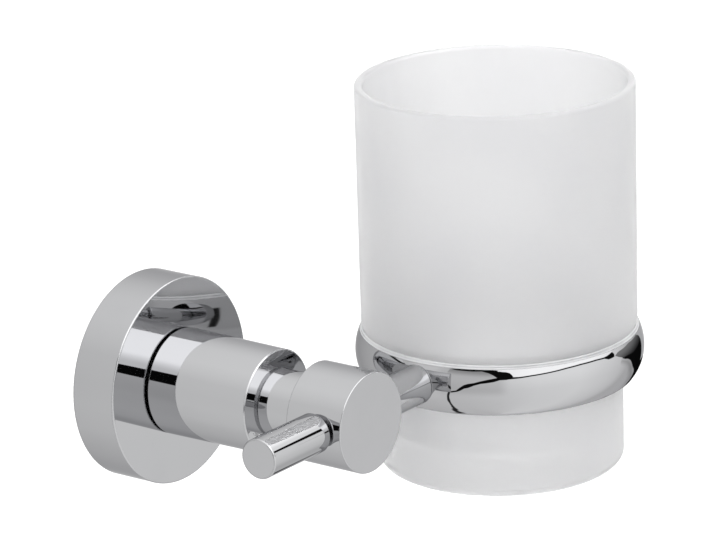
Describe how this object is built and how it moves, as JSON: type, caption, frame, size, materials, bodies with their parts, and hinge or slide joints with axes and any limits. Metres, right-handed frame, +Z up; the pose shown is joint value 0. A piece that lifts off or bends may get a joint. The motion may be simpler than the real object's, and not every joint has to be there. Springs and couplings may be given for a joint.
{
  "type": "tumbler holder",
  "caption": "Wall-mounted chrome holder: round rosette, post and head with a cross bar, and a ring that carries a removable frosted glass tumbler.",
  "frame": {"origin": "middle of the wall bracket's back face, on the wall plane and on the axis of post and head", "axes": "+Y into the wall and -Y out into the room, +Z up, +X along the cross bar towards the ring"},
  "size_m": [0.1316, 0.0977, 0.0962],
  "materials": {
    "chrome": "polished",
    "zinc_plate": "zinc plated",
    "steel": "plain",
    "liner_plastic": "translucent, matt",
    "frosted_glass": "frosted"
  },
  "bodies": {
    "holder": {"wall_bracket": "zinc_plate", "rosette": "chrome", "rosette_grub_screw": "steel", "lock_washer": "steel", "post_screw": "steel", "post": "chrome", "neck": "chrome", "neck_stud": "steel", "head": "chrome", "cross_stud": "steel", "peg": "chrome", "arm": "chrome", "ring": "chrome", "ring_screw": "steel", "ring_liner": "liner_plastic"},
    "glass": {"tumbler": "frosted_glass"}
  },
  "joints": [
    {"name": "tumbler_lift", "type": "slide", "parent": "holder", "child": "glass", "axis": [0, 0, 1], "range_m": [0, 0.045]}
  ]
}
